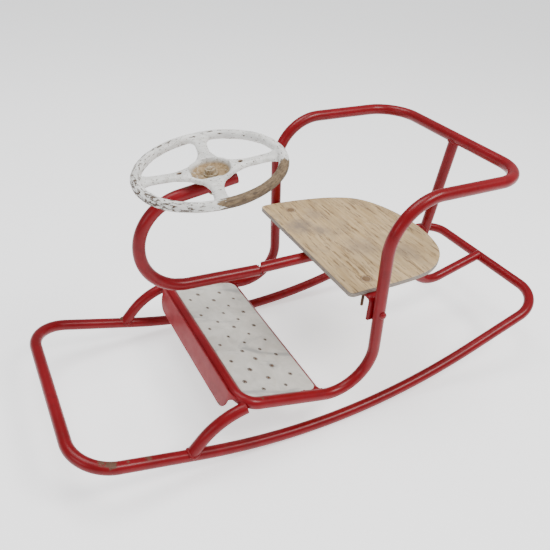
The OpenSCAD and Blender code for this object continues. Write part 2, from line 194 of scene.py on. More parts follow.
def red_paint(name, base=(0.160, 0.0005, 0.0030), faded=(0.195, 0.0020, 0.0065), spots=(), wear=0.0, rough=(0.24, 0.42)):
    m, nt, b = mat_new(name)
    g = G(nt)
    big = g.noise(9, 3, 0.6)
    mid = g.noise(46, 5, 0.62, 0.4)
    fine = g.noise(420, 4, 0.6)
    col = g.mix(g.ramp(big, [(0.38, 0.0), (0.66, 1.0)]), base, faded)
    dark = (base[0] * 0.62, base[1] * 0.6, base[2] * 0.7)
    col = g.mix(g.ramp(mid, [(0.50, 0.0), (0.74, 0.55)]), col, dark)
    # fine grime specks and small chips
    chip_n = g.noise(150, 6, 0.7, 0.6)
    chips = g.ramp(chip_n, [(0.712 - wear, 0.0), (0.722 - wear, 1.0)])
    mask = chips
    for (p, r, hard) in spots:
        s = g.near(p, r * 0.2, r)
        t = g.math("ADD", g.math("MULTIPLY", s, hard), g.math("MULTIPLY", g.noise(190, 6, 0.72, 0.5), 0.9))
        s2 = g.ramp(t, [(0.86, 0.0), (0.93, 1.0)])
        mask = g.math("MAXIMUM", mask, s2)
    metal = g.mix(g.noise(300, 5, 0.7), (0.045, 0.018, 0.010), (0.15, 0.080, 0.048))
    col = g.mix(mask, col, metal)
    scr = g.noise(60, 3, 0.5, 0.0, g.mapped(rot=(0.3, 0.5, 0.2), scale=(1, 14, 6)))
    col = g.mix(g.ramp(scr, [(0.66, 0.0), (0.70, 0.16)]), col, (0.36, 0.055, 0.065))
    g.link(col, b.inputs["Base Color"])
    r = g.math("ADD", g.math("MULTIPLY", mid, rough[1] - rough[0]), rough[0])
    r = g.math("ADD", r, g.math("MULTIPLY", mask, 0.30), True)
    g.link(r, b.inputs["Roughness"])
    b.inputs["Specular IOR Level"].default_value = 0.22
    b.inputs["Coat Weight"].default_value = 0.06
    b.inputs["Coat Roughness"].default_value = 0.14
    h = g.math("SUBTRACT", g.math("MULTIPLY", g.noise(110, 3, 0.5), 0.6), g.math("MULTIPLY", mask, 0.35))
    n1 = g.bump(h, 0.30, 0.0006)
    g.link(g.bump(fine, 0.10, 0.0002, n1), b.inputs["Normal"])
    return m


def steel_dark(name, rust=0.5):
    m, nt, b = mat_new(name)
    g = G(nt)
    n1 = g.noise(260, 6, 0.7, 0.6)
    n2 = g.noise(900, 4, 0.6)
    col = g.mix(g.ramp(n1, [(0.5 - rust * 0.25, 0.0), (0.62, 1.0)]), (0.055, 0.045, 0.040), (0.20, 0.095, 0.045))
    col = g.mix(g.ramp(n2, [(0.45, 0.0), (0.7, 0.6)]), col, (0.11, 0.09, 0.075))
    g.link(col, b.inputs["Base Color"])
    b.inputs["Metallic"].default_value = 0.55
    g.link(g.math("ADD", g.math("MULTIPLY", n1, 0.5), 0.30), b.inputs["Roughness"])
    g.link(g.bump(n1, 0.5, 0.0004, g.bump(n2, 0.3, 0.0002)), b.inputs["Normal"])
    return m


def painted_bolt(name):
    return red_paint(name, (0.165, 0.0010, 0.004), (0.19, 0.003, 0.007), wear=0.02)


def plywood(name):
    m, nt, b = mat_new(name)
    g = G(nt)
    # grain runs across the seat, along X
    grain = g.noise(1.0, 9, 0.68, 0.35, g.mapped(scale=(9, 120, 60)))
    streak = g.noise(1.0, 6, 0.6, 1.2, g.mapped(loc=(0.3, 0.1, 0), rot=(0, 0, 0.06), scale=(3.2, 30, 12)))
    fibre = g.noise(1.0, 8, 0.75, 0.1, g.mapped(scale=(30, 900, 500)))
    blot = g.noise(13, 5, 0.62, 0.8)
    wave = g.n("ShaderNodeTexWave", wave_type="BANDS", bands_direction="Y", wave_profile="SAW")
    wave.inputs["Scale"].default_value = 7.0
    wave.inputs["Distortion"].default_value = 7.5
    wave.inputs["Detail"].default_value = 3.0
    wave.inputs["Detail Scale"].default_value = 1.3
    g.link(g.mapped(rot=(0, 0, 0.05), scale=(0.42, 1.7, 1)), wave.inputs["Vector"])
    col = g.mix(g.ramp(grain, [(0.36, 0.0), (0.64, 1.0)]), (0.395, 0.270, 0.130), (0.530, 0.395, 0.225))
    col = g.mix(g.ramp(wave.outputs["Fac"], [(0.70, 0.0), (0.97, 0.34)]), col, (0.255, 0.160, 0.075))
    col = g.mix(g.ramp(streak, [(0.55, 0.0), (0.74, 0.55)]), col, (0.330, 0.240, 0.145))
    col = g.mix(g.ramp(blot, [(0.53, 0.0), (0.72, 0.65)]), col, (0.270, 0.205, 0.135))
    light = g.noise(22, 4, 0.6, 0.5, g.mapped(loc=(2, 1, 0)))
    col = g.mix(g.ramp(light, [(0.58, 0.0), (0.75, 0.45)]), col, (0.600, 0.480, 0.310))
    # fine open checks along the grain
    check = g.noise(1.0, 7, 0.62, 0.25, g.mapped(loc=(0.7, 0.2, 0), scale=(24, 210, 60)))
    ck = g.ramp(check, [(0.570, 0.0), (0.600, 1.0)])
    col = g.mix(g.math("MULTIPLY", ck, 0.66), col, (0.135, 0.080, 0.040))
    # weathered grey towards the edge and on the sides
    geo = g.n("ShaderNodeNewGeometry")
    sep = g.n("ShaderNodeSeparateXYZ")
    g.link(geo.outputs["Normal"], sep.inputs["Vector"])
    side = g.ramp(g.math("ABSOLUTE", sep.outputs["Z"]), [(0.30, 1.0), (0.80, 0.0)])
    co = g.n("ShaderNodeSeparateXYZ")
    g.link(g.co, co.inputs["Vector"])
    ply = g.n("ShaderNodeTexWave", wave_type="BANDS", bands_direction="Z", wave_profile="SIN")
    ply.inputs["Scale"].default_value = 95.0
    ply.inputs["Distortion"].default_value = 0.8
    ply.inputs["Detail"].default_value = 2.0
    g.link(g.co, ply.inputs["Vector"])
    edge_c = g.mix(g.ramp(ply.outputs["Fac"], [(0.25, 0.0), (0.75, 1.0)]), (0.125, 0.105, 0.095), (0.330, 0.285, 0.240))
    edge_c = g.mix(g.ramp(g.noise(160, 5, 0.7), [(0.4, 0.0), (0.7, 0.6)]), edge_c, (0.27, 0.235, 0.20))
    col = g.mix(side, col, edge_c)
    # dark stain rings at the two seat bolts
    for sx in (-1, 1):
        p = M_REST @ (M_SEAT @ Vector((sx * 142, 7, 0)))
        s = g.near(p, 0.007, 0.016)
        t = g.math("ADD", g.math("MULTIPLY", s, 0.7), g.math("MULTIPLY", g.noise(240, 4, 0.6), 0.7))
        col = g.mix(g.ramp(t, [(0.60, 0.0), (0.95, 0.85)]), col, (0.13, 0.075, 0.04))
    for (x, v, r, k) in ((-72, -8, 0.050, 0.60), (-42, 22, 0.034, 0.5), (40, 60, 0.055, 0.32), (-105, 45, 0.04, 0.3), (90, 140, 0.05, 0.3)):
        p = M_REST @ (M_SEAT @ Vector((x, v, 0)))
        s = g.near(p, 0.0, r)
        t = g.math("MULTIPLY", s, g.noise(60, 5, 0.7, 0.7))
        col = g.mix(g.ramp(t, [(0.10, 0.0), (0.42, k * 1.5)]), col, (0.215, 0.165, 0.125))
    g.link(col, b.inputs["Base Color"])
    g.link(g.math("ADD", g.math("MULTIPLY", grain, 0.18), 0.62), b.inputs["Roughness"])
    b.inputs["Specular IOR Level"].default_value = 0.28
    h = g.math("ADD", g.math("MULTIPLY", fibre, 0.35), g.math("MULTIPLY", grain, 0.9))
    h = g.math("SUBTRACT", h, g.math("MULTIPLY", ck, 1.1))
    g.link(g.bump(h, 0.55, 0.0007), b.inputs["Normal"])
    return m


def plywood_dark(name):
    m, nt, b = mat_new(name)
    g = G(nt)
    n1 = g.noise(300, 5, 0.65, 0.4)
    n2 = g.noise(1.0, 6, 0.6, 0.2, g.mapped(scale=(30, 500, 200)))
    col = g.mix(g.ramp(n1, [(0.35, 0.0), (0.65, 1.0)]), (0.24, 0.165, 0.095), (0.36, 0.265, 0.165))
    col = g.mix(g.ramp(n2, [(0.5, 0.0), (0.72, 0.6)]), col, (0.15, 0.095, 0.05))
    g.link(col, b.inputs["Base Color"])
    g.link(g.math("ADD", g.math("MULTIPLY", n1, 0.2), 0.62), b.inputs["Roughness"])
    g.link(g.bump(n2, 0.5, 0.0004), b.inputs["Normal"])
    return m


def plate_mat(name):
    m, nt, b = mat_new(name)
    g = G(nt)
    smear = g.noise(1.0, 5, 0.6, 1.6, g.mapped(loc=(0.2, 0.4, 0), rot=(0, 0, 0.5), scale=(16, 7, 7)))
    cloud = g.noise(26, 5, 0.6, 1.0)
    spk = g.noise(330, 5, 0.65, 0.3)
    col = g.mix(g.ramp(cloud, [(0.35, 0.0), (0.68, 1.0)]), (0.500, 0.482, 0.435), (0.625, 0.607, 0.560))
    col = g.mix(g.ramp(smear, [(0.55, 0.0), (0.68, 0.62)]), col, (0.245, 0.250, 0.250))
    warm = g.noise(18, 4, 0.6, 0.6, g.mapped(loc=(4, 1, 2)))
    col = g.mix(g.ramp(warm, [(0.56, 0.0), (0.78, 0.5)]), col, (0.455, 0.400, 0.320))
    col = g.mix(g.ramp(spk, [(0.68, 0.0), (0.73, 0.75)]), col, (0.17, 0.14, 0.12))
    g.link(col, b.inputs["Base Color"])
    g.link(g.math("ADD", g.math("MULTIPLY", cloud, 0.3), 0.36), b.inputs["Roughness"])
    b.inputs["Metallic"].default_value = 0.0
    b.inputs["Specular IOR Level"].default_value = 0.45
    n1 = g.bump(g.noise(70, 3, 0.5), 0.22, 0.0008)
    g.link(g.bump(spk, 0.12, 0.0002, n1), b.inputs["Normal"])
    return m


def burr_mat(name):
    m, nt, b = mat_new(name)
    g = G(nt)
    n1 = g.noise(700, 5, 0.7, 0.4)
    n2 = g.noise(75, 3, 0.5)
    col = g.mix(g.ramp(n1, [(0.36, 0.0), (0.56, 1.0)]), (0.37, 0.34, 0.29), (0.055, 0.030, 0.020))
    col = g.mix(g.ramp(n2, [(0.50, 0.0), (0.64, 0.6)]), col, (0.33, 0.31, 0.27))
    g.link(col, b.inputs["Base Color"])
    g.link(g.math("ADD", g.math("MULTIPLY", n1, 0.3), 0.45), b.inputs["Roughness"])
    b.inputs["Metallic"].default_value = 0.2
    g.link(g.bump(n1, 0.5, 0.0003), b.inputs["Normal"])
    return m


def wheel_mat(name):
    m, nt, b = mat_new(name)
    g = G(nt)
    C = M_REST @ (M_WHEEL @ Vector((0, 0, 32.7)))
    # wheel-plane coordinates, so the wear follows the rim
    to = (M_REST @ M_WHEEL).inverted()
    loc, rot, sca = to.decompose()
    w = g.mapped(loc=tuple(loc), rot=tuple(rot.to_euler()), scale=tuple(sca))
    sep = g.n("ShaderNodeSeparateXYZ")
    g.link(w, sep.inputs["Vector"])
    x, y, z = sep.outputs
    rr = g.math("SQRT", g.math("ADD", g.math("MULTIPLY", x, x), g.math("MULTIPLY", y, y)))
    wn = g.noise(0.085, 6, 0.68, 0.5, w)
    fine = g.noise(0.55, 5, 0.7, 0.4, w)
    mid = g.noise(0.03, 4, 0.6, 0.4, w)
    paint = g.mix(g.ramp(mid, [(0.36, 0.0), (0.66, 1.0)]), (0.590, 0.584, 0.560), (0.770, 0.763, 0.735))
    paint = g.mix(g.ramp(g.noise(0.16, 4, 0.6, 0.3, w), [(0.55, 0.0), (0.78, 0.5)]), paint, (0.44, 0.41, 0.36))
    rust = g.mix(fine, (0.032, 0.020, 0.014), (0.110, 0.070, 0.042))
    # coordinates unrolled along the rim, so the wear runs with it
    xr = g.math("ADD", g.math("MULTIPLY", x, cos(-70)), g.math("MULTIPLY", y, sin(-70)))
    yr = g.math("SUBTRACT", g.math("MULTIPLY", y, cos(-70)), g.math("MULTIPLY", x, sin(-70)))
    ar = g.math("ARCTAN2", yr, xr)
    roll = g.n("ShaderNodeCombineXYZ")
    g.link(g.math("MULTIPLY", ar, 121.8 * 0.30), roll.inputs[0])
    g.link(rr, roll.inputs[1])
    g.link(z, roll.inputs[2])
    streak = g.noise(0.30, 6, 0.66, 0.3, roll.outputs[0])
    soft = g.noise(0.10, 4, 0.6, 0.3, roll.outputs[0])

    def span(v, a0, a1):
        m_ = g.n("ShaderNodeMapRange")
        m_.inputs["From Min"].default_value = a0
        m_.inputs["From Max"].default_value = a1
        g.link(v, m_.inputs["Value"])
        return m_.outputs[0]

    ang = g.math("ARCTAN2", y, x)
    onrim = span(rr, 111.5, 115.0)
    outer = span(rr, 118.0, 131.0)
    low = span(z, 35.0, 25.0)
    # rim facing the photo, rider's right and front: long dark chips
    front = g.math("MULTIPLY", span(g.math("ABSOLUTE", g.math("ADD", ang, rad(100))), rad(95), rad(30)), onrim)
    t = g.math("ADD", streak, g.math("MULTIPLY", front, g.math("ADD", g.math("MULTIPLY", outer, 0.09), g.math("MULTIPLY", low, 0.07))))
    t = g.math("ADD", t, g.math("MULTIPLY", front, 0.03))
    t = g.math("ADD", t, g.math("MULTIPLY", onrim, 0.015))
    chips = g.ramp(t, [(0.606, 0.0), (0.624, 1.0)])
    small = g.ramp(g.math("ADD", g.noise(0.20, 6, 0.7, 0.5, w), g.math("MULTIPLY", front, 0.02)), [(0.655, 0.0), (0.668, 1.0)])
    chips = g.math("MAXIMUM", chips, small)
    # bare arc of the rim at the rider's left hand
    d = g.math("ABSOLUTE", g.math("SUBTRACT", ang, rad(23)))
    arc = g.math("MULTIPLY", span(d, rad(56), rad(26)), onrim)
    wt = g.math("ADD", g.math("MULTIPLY", arc, 0.62), g.math("MULTIPLY", streak, 0.75))
    wt = g.math("ADD", wt, g.math("MULTIPLY", g.math("MULTIPLY", outer, arc), 0.16))
    wt = g.math("ADD", wt, g.math("MULTIPLY", soft, 0.30))
    worn = g.ramp(wt, [(0.92, 0.0), (0.96, 1.0)])
    worn_and_shade_c = g.mix(g.ramp(streak, [(0.36, 0.0), (0.62, 1.0)]), (0.060, 0.036, 0.018), (0.185, 0.125, 0.066))
    # worn metal darkened towards the rim's outer lower side: painted shade
    worn_and_shade_c = g.mix(g.ramp(g.math("ADD", g.math("MULTIPLY", outer, 0.5), g.math("MULTIPLY", low, 0.5)), [(0.45, 0.0), (0.85, 0.8)]), worn_and_shade_c, (0.050, 0.030, 0.018))
    worn_and_shade_c = g.mix(g.ramp(fine, [(0.60, 0.0), (0.72, 0.6)]), worn_and_shade_c, (0.42, 0.36, 0.27))
    # grime patches, with painted shade making them gather on the casting's lower side
    paint = g.mix(g.ramp(g.math("ADD", soft, g.math("MULTIPLY", low, 0.15)), [(0.55, 0.0), (0.80, 0.55)]), paint, (0.36, 0.32, 0.265))
    # hub bowl: tan dirt and rust
    bowl = g.n("ShaderNodeMapRange")
    bowl.inputs["From Min"].default_value = 35.0
    bowl.inputs["From Max"].default_value = 30.5
    g.link(rr, bowl.inputs["Value"])
    bz = g.n("ShaderNodeMapRange")
    bz.inputs["From Min"].default_value = 30.0
    bz.inputs["From Max"].default_value = 26.0
    g.link(z, bz.inputs["Value"])
    bm = g.math("MULTIPLY", bowl.outputs[0], bz.outputs[0])
    bt = g.math("MULTIPLY", bm, g.ramp(g.noise(0.11, 5, 0.7, 0.8, w), [(0.28, 0.0), (0.42, 1.0)]))
    tanc = g.mix(g.ramp(g.noise(0.2, 5, 0.7, 0.5, w), [(0.35, 0.0), (0.65, 1.0)]), (0.165, 0.095, 0.035), (0.370, 0.265, 0.140))
    col = g.mix(chips, paint, rust)
    col = g.mix(worn, col, worn_and_shade_c)
    col = g.mix(bt, col, tanc)
    for a in (77, 257):
        q = M_REST @ (M_WHEEL @ Vector((51 * cos(a), 51 * sin(a), 30)))
        s = g.near(q, 0.0030, 0.0085)
        col = g.mix(g.ramp(g.math("ADD", s, g.math("MULTIPLY", fine, 0.5)), [(0.7, 0.0), (1.1, 1.0)]), col, (0.16, 0.085, 0.04))
        # near-black disc in each hole's dimple: painted shade
        s = g.near(q, 0.0028, 0.0046)
        col = g.mix(s, col, (0.02, 0.014, 0.01))
    g.link(col, b.inputs["Base Color"])
    rg = g.math("ADD", g.math("MULTIPLY", mid, 0.2), 0.34)
    rg = g.math("ADD", rg, g.math("MULTIPLY", g.math("MAXIMUM", g.math("MAXIMUM", chips, worn), bt), 0.24), True)
    g.link(rg, b.inputs["Roughness"])
    b.inputs["Specular IOR Level"].default_value = 0.45
    h = g.math("SUBTRACT", g.math("MULTIPLY", wn, 0.5), g.math("MULTIPLY", g.math("MAXIMUM", chips, worn), 0.55))
    n1 = g.bump(h, 0.5, 0.0007)
    g.link(g.bump(fine, 0.22, 0.0003, n1), b.inputs["Normal"])
    return m


# worn places of the base frame, seen as brown or pale bare metal
base_spots = [(P(HW, -492, 137), 0.024, 0.60), (P(HW - 6, -505, 140), 0.022, 0.5), (P(HW, -432, 116), 0.017, 0.55),
              (P(HW, -466, 127), 0.013, 0.5), (P(-HW, -368, 90), 0.012, 0.55), (P(120, -548, 150), 0.010, 0.4),
              (P(HW, -150, 8), 0.05, 0.25), (P(-HW, -60, 0), 0.10, 0.25), (P(HW, -40, 0), 0.10, 0.25)]
seat_spots = [(P(HW, -225, 145), 0.013, 0.5), (P(HW, 14, 262), 0.010, 0.35), (P(HW, 100, 473), 0.012, 0.3), (P(60, BACK_Y, 458), 0.010, 0.3)]
RED_BASE = red_paint("red_rocker", spots=base_spots)
RED_SEAT = red_paint("red_seat_frame", spots=seat_spots)
RED_MISC = red_paint("red_small", wear=0.012)
RED_COL = red_paint("red_column", spots=[(P(0, -285, 473), 0.014, 0.45), (P(0, -258, 475), 0.012, 0.45), (P(0, -127, 279), 0.006, 0.5)])
RED_SKIRT = red_paint("red_skirt", (0.225, 0.0035, 0.0080), (0.275, 0.014, 0.019), wear=0.02, rough=(0.34, 0.52),
                      spots=[(P(150, -286, 120), 0.006, 0.6), (P(-40, -285, 130), 0.03, 0.25), (P(30, -285, 128), 0.03, 0.25), (P(100, -285, 128), 0.03, 0.25)])
STEEL = steel_dark("dark_steel")
RUSTY = steel_dark("rusty_steel", 0.9)
PLY = plywood("weathered_plywood")
PLYHOLE = plywood_dark("stained_plywood")
PLATE = plate_mat("pale_plate")
BURR = burr_mat("punched_burr")
# dark steel for the painted-shade cups in the plate's punched holes
HOLE_SHADE = steel_dark("hole_painted_shade", 0.15)
WHEEL = wheel_mat("wheel_paint")


# ---------------------------------------------------------------- mesh helpers
def add(name, verts, faces, mat, body="frame", nodes=(), local=ID, smooth=True, mods=()):
    """a piece from mm coordinates in a local frame"""
    M = M_REST @ local
    me = bpy.data.meshes.new(name)
    me.from_pydata([M @ Vector(v) for v in verts], [], faces)
    me.validate()
    bm = bmesh.new()
    bm.from_mesh(me)
    bmesh.ops.remove_doubles(bm, verts=bm.verts, dist=1e-7)
    bmesh.ops.recalc_face_normals(bm, faces=bm.faces)
    bm.to_mesh(me)
    bm.free()
    if smooth:
        me.polygons.foreach_set("use_smooth", [True] * len(me.polygons))
    o = bpy.data.objects.new(name, me)
    bpy.context.scene.collection.objects.link(o)
    me.materials.append(mat)
    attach(o, body)
    if nodes:
        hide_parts(*nodes)
    return o


def sharp(o, deg=38):
    """smooth shading with creases kept sharper than deg"""
    me = o.data
    bm = bmesh.new()
    bm.from_mesh(me)
    for e in bm.edges:
        if len(e.link_faces) == 2 and e.calc_face_angle(0) > rad(deg):
            e.smooth = False
    bm.to_mesh(me)
    bm.free()


def route(pts, radii, step=6.0):
    """centre line through bent corners: points about step apart, denser in bends"""
    pts = [Vector(p) for p in pts]
    out = [pts[0]]
    for i in range(1, len(pts) - 1):
        a, b, c = pts[i - 1], pts[i], pts[i + 1]
        u, v = (b - a).normalized(), (c - b).normalized()
        phi = u.angle(v)
        R = radii[i]
        t = R * math.tan(phi / 2)
        cen = b + (v - u).normalized() * (R / math.cos(phi / 2))
        st = b - u * t
        x = (st - cen).normalized()
        k = max(6, int(R * phi / 4.0)) if R < 300 else max(20, int(R * phi / 12.0))
        for j in range(k + 1):
            th = phi * j / k
            out.append(cen + (x * math.cos(th) + u * math.sin(th)) * R)
    out.append(pts[-1])
    res = [out[0]]
    for p in out[1:]:
        L = (p - res[-1]).length
        if L < 1e-6:
            continue
        k = max(1, int(L / step))
        q = res[-1]
        for j in range(1, k + 1):
            res.append(q.lerp(p, j / k))
    return res


def frames(line, closed=False):
    n = len(line)
    tang = []
    for i in range(n):
        a = line[i - 1] if (i > 0 or closed) else line[0]
        b = line[(i + 1) % n] if (i < n - 1 or closed) else line[-1]
        tang.append((b - a).normalized())
    ref = Vector((0, 0, 1)) if abs(tang[0].z) < 0.9 else Vector((1, 0, 0))
    x = (ref - tang[0] * ref.dot(tang[0])).normalized()
    xs = [x]
    for i in range(1, n):
        x = xs[-1] - tang[i] * xs[-1].dot(tang[i])
        xs.append(x.normalized())
    if closed:  # spread the twist
        x = xs[-1] - tang[0] * xs[-1].dot(tang[0])
        x.normalize()
        tw = math.atan2(tang[0].dot(x.cross(xs[0])), x.dot(xs[0]))
        for i in range(n):
            xs[i] = Matrix.Rotation(tw * i / n, 3, tang[i]) @ xs[i]
    return tang, xs


def sweep(line, radius, sides=36, closed=False, caps=True, rad_at=None, seed=0.0, rough=0.0):
    tang, xs = frames(line, closed)
    verts, faces = [], []
    n = len(line)
    for i, p in enumerate(line):
        y = tang[i].cross(xs[i])
        r = radius if rad_at is None else radius * rad_at(i / (n - 1))
        for j in range(sides):
            a = 2 * math.pi * j / sides
            d = xs[i] * math.cos(a) + y * math.sin(a)
            q = p + d * r
            if rough:
                q += d * rough * noise.noise(q * 0.21 + Vector((seed, 0, 0)))
            verts.append(q)
    m = n if closed else n - 1
    for i in range(m):
        for j in range(sides):
            a = i * sides + j
            b = i * sides + (j + 1) % sides
            c = ((i + 1) % n) * sides + (j + 1) % sides
            d = ((i + 1) % n) * sides + j
            faces.append((a, b, c, d))
    if not closed and caps:
        faces.append(tuple(range(sides - 1, -1, -1)))
        faces.append(tuple((n - 1) * sides + j for j in range(sides)))
    return verts, faces


def mouth(d):
    """how far the column's cut end is set back at this offset from its axis"""
    return 0.53 * d.x + max(0.0, d.dot(Vector((-0.588, 0, 0.809))) - 2.0) * 1.09


def hollow(line, ro, ri, sides=36, cut0=None, cut1=None):
    """open-ended tube with rounded rims; cut0 and cut1 are end plane normals"""
    tang, xs = frames(line)
    verts, faces = [], []
    n = len(line)

    def ringat(i, r, cut, off=0.0):
        base = len(verts)
        y = tang[i].cross(xs[i])
        for j in range(sides):
            a = 2 * math.pi * j / sides
            q = line[i] + (xs[i] * math.cos(a) + y * math.sin(a)) * r
            if cut is mouth:
                q = q + tang[i] * mouth(q - line[i])
            elif cut is not None:
                q = q - tang[i] * ((q - line[i]).dot(cut) / tang[i].dot(cut))
            elif cut0 is mouth and i < 6:
                L = sum((line[k + 1] - line[k]).length for k in range(i))
                q = q + tang[i] * max(0.0, mouth((q - line[i]) * (ro / r)) + 0.5 * i - L)
            verts.append(q + tang[i] * off)
        return base

    rings = []
    rings.append(ringat(0, ri + 0.25, cut0, 0.0))
    rings.append(ringat(0, ro - 0.35, cut0, 0.0))
    rings.append(ringat(0, ro, cut0, 0.35))
    for i in range(1, n - 1):
        rings.append(ringat(i, ro, None))
    rings.append(ringat(n - 1, ro, cut1, -0.35))
    rings.append(ringat(n - 1, ro - 0.35, cut1, 0.0))
    rings.append(ringat(n - 1, ri + 0.25, cut1, 0.0))
    rings.append(ringat(n - 1, ri, cut1, -0.3))
    for i in range(n - 2, 0, -1):
        rings.append(ringat(i, ri, None))
    rings.append(ringat(0, ri, cut0, 0.3))
    m = len(rings)
    for k in range(m):
        a0, b0 = rings[k], rings[(k + 1) % m]
        for j in range(sides):
            faces.append((a0 + j, a0 + (j + 1) % sides, b0 + (j + 1) % sides, b0 + j))
    return verts, faces


def weld(name, pA, dA, rA, line, rB, mat, size=2.6, a0=0.0, a1=360.0, seed=1.0, reach=70):
    """bead where a tube leaving pA along dA meets the tube of radius rB round the line"""
    dA = dA.normalized()
    ref = Vector((1, 0, 0)) if abs(dA.x) < 0.8 else Vector((0, 0, 1))
    x = (ref - dA * ref.dot(dA)).normalized()
    y = dA.cross(x)
    pts = []
    N = 72
    for k in range(N + 1):
        a = rad(a0 + (a1 - a0) * k / N)
        q = pA + (x * math.cos(a) + y * math.sin(a)) * rA
        hit = None
        s = 0.0
        while s < reach:
            w = q + dA * s
            d = min((w - c).length for c in line)
            if d <= rB:
                hit = w
                break
            s += max(0.4, (d - rB) * 0.6)
        pts.append(hit)
    pts = pts[:-1]
    closed = all(p is not None for p in pts)
    if not closed:  # keep the longest run of hits
        best, n2 = [], len(pts)
        for i in range(n2):
            if pts[i] is not None and pts[i - 1] is None:
                run = []
                while len(run) < n2 and pts[(i + len(run)) % n2] is not None:
                    run.append(pts[(i + len(run)) % n2])
                if len(run) > len(best):
                    best = run
        pts = best
    if len(pts) < 6:
        return None
    smooth_pts = []
    n = len(pts)
    for i in range(n):
        if closed:
            s = (pts[i - 1] + pts[i] * 2 + pts[(i + 1) % n]) / 4
        else:
            s = (pts[max(0, i - 1)] + pts[i] * 2 + pts[min(n - 1, i + 1)]) / 4
        smooth_pts.append(s)
    dense = []
    m = n if closed else n - 1
    for i in range(m):
        a, b = smooth_pts[i], smooth_pts[(i + 1) % n]
        dense += [a, a.lerp(b, 0.5)]
    if not closed:
        dense.append(smooth_pts[-1])
    # ripples of a hand-laid bead
    v, f = sweep(dense, size, 10, closed=closed, caps=True, seed=seed, rough=0.0)
    out = []
    sides = 10
    for i in range(len(dense)):
        rp = 1.0 + 0.13 * math.sin(i * 1.25 + seed) + 0.22 * noise.noise(dense[i] * 0.13 + Vector((seed, 2, 3)))
        e = 1.0
        if not closed:
            e = min(1.0, 0.35 + min(i, len(dense) - 1 - i) * 0.12)
        for j in range(sides):
            out.append(dense[i] + (v[i * sides + j] - dense[i]) * rp * e)
    return add(name, out, f, mat)


def revolve(profile, sides=64):
    """closed solid of revolution about Z from (r, z) pairs, first and last on or near the axis"""
    verts, faces = [], []
    idx = []
    for (r, z) in profile:
        if r < 1e-6:
            idx.append([len(verts)] * sides)
            verts.append(Vector((0, 0, z)))
        else:
            b = len(verts)
            idx.append([b + j for j in range(sides)])
            for j in range(sides):
                a = 2 * math.pi * j / sides
                verts.append(Vector((r * math.cos(a), r * math.sin(a), z)))
    for k in range(len(idx) - 1):
        for j in range(sides):
            q = [idx[k][j], idx[k][(j + 1) % sides], idx[k + 1][(j + 1) % sides], idx[k + 1][j]]
            u = []
            for w in q:
                if w not in u:
                    u.append(w)
            if len(u) > 2:
                faces.append(tuple(u))
    return verts, faces


# ---------------------------------------------------------------- camera and light
TILT = Matrix.Rotation(rad(REST), 4, 'X')
CAM_POS, CAM_AZ, CAM_EL, CAM_ROLL, CAM_F = (838.0, -538.0, 933.0), 62.06, 36.09, 0.03, 596.1


def camera():
    az, el = rad(CAM_AZ), rad(CAM_EL)
    back = Vector((math.sin(az) * math.cos(el), -math.cos(az) * math.cos(el), math.sin(el)))
    right = (-back).cross(Vector((0, 0, 1))).normalized()
    up = right.cross(-back)
    c, s = cos(CAM_ROLL), sin(CAM_ROLL)
    right, up = right * c + up * s, up * c - right * s
    R = TILT.to_3x3()
    right, up, back = R @ right, R @ up, R @ back
    loc = M_REST @ Vector(CAM_POS)
    cd = bpy.data.cameras.new("camera")
    cd.sensor_width = 36.0
    cd.lens = CAM_F / 550.0 * 36.0
    cd.clip_start = 0.05
    cd.clip_end = 50.0
    o = bpy.data.objects.new("camera", cd)
    o.matrix_world = Matrix(((right.x, up.x, back.x, loc.x), (right.y, up.y, back.y, loc.y), (right.z, up.z, back.z, loc.z), (0, 0, 0, 1)))
    bpy.context.scene.collection.objects.link(o)
    bpy.context.scene.camera = o


def light(name, loc, target, size, power, color=(1, 1, 1)):
    ld = bpy.data.lights.new(name, 'AREA')
    ld.shape = 'RECTANGLE'
    ld.size, ld.size_y = size
    ld.energy = power
    ld.color = color
    o = bpy.data.objects.new(name, ld)
    o.location = loc
    o.rotation_euler = (Vector(target) - Vector(loc)).to_track_quat('-Z', 'Y').to_euler()
    bpy.context.scene.collection.objects.link(o)


def stage():
    me = bpy.data.meshes.new("floor")
    s = 9.0
    me.from_pydata([(-s, -s, 0), (s, -s, 0), (s, s, 0), (-s, s, 0)], [], [(0, 1, 2, 3)])
    o = bpy.data.objects.new("floor", me)
    bpy.context.scene.collection.objects.link(o)
    m, nt, b = mat_new("pale_floor")
    g = G(nt)
    col = g.mix(g.noise(1.2, 2, 0.5), (0.86, 0.865, 0.875), (0.90, 0.90, 0.905))
    g.link(col, b.inputs["Base Color"])
    b.inputs["Roughness"].default_value = 0.75
    b.inputs["Specular IOR Level"].default_value = 0.2
    b.inputs["Emission Color"].default_value = (1.0, 1.0, 1.0, 1)
    b.inputs["Emission Strength"].default_value = 0.85
    me.materials.append(m)
    w = bpy.data.worlds.new("studio")
    bpy.context.scene.world = w
    w.use_nodes = True
    bg = w.node_tree.nodes["Background"]
    bg.inputs["Color"].default_value = (0.97, 0.985, 1.0, 1)
    bg.inputs["Strength"].default_value = 0.55
    light("key", (1.4, 1.0, 2.6), (0, 0, 0.25), (1.2, 0.8), 70, (1.0, 0.985, 0.965))
    light("top", (-0.5, -0.4, 2.9), (0, 0, 0.2), (1.6, 1.6), 58)
    light("fill", (0.8, -2.4, 1.5), (0, 0, 0.25), (1.2, 0.9), 12, (0.95, 0.975, 1.0))


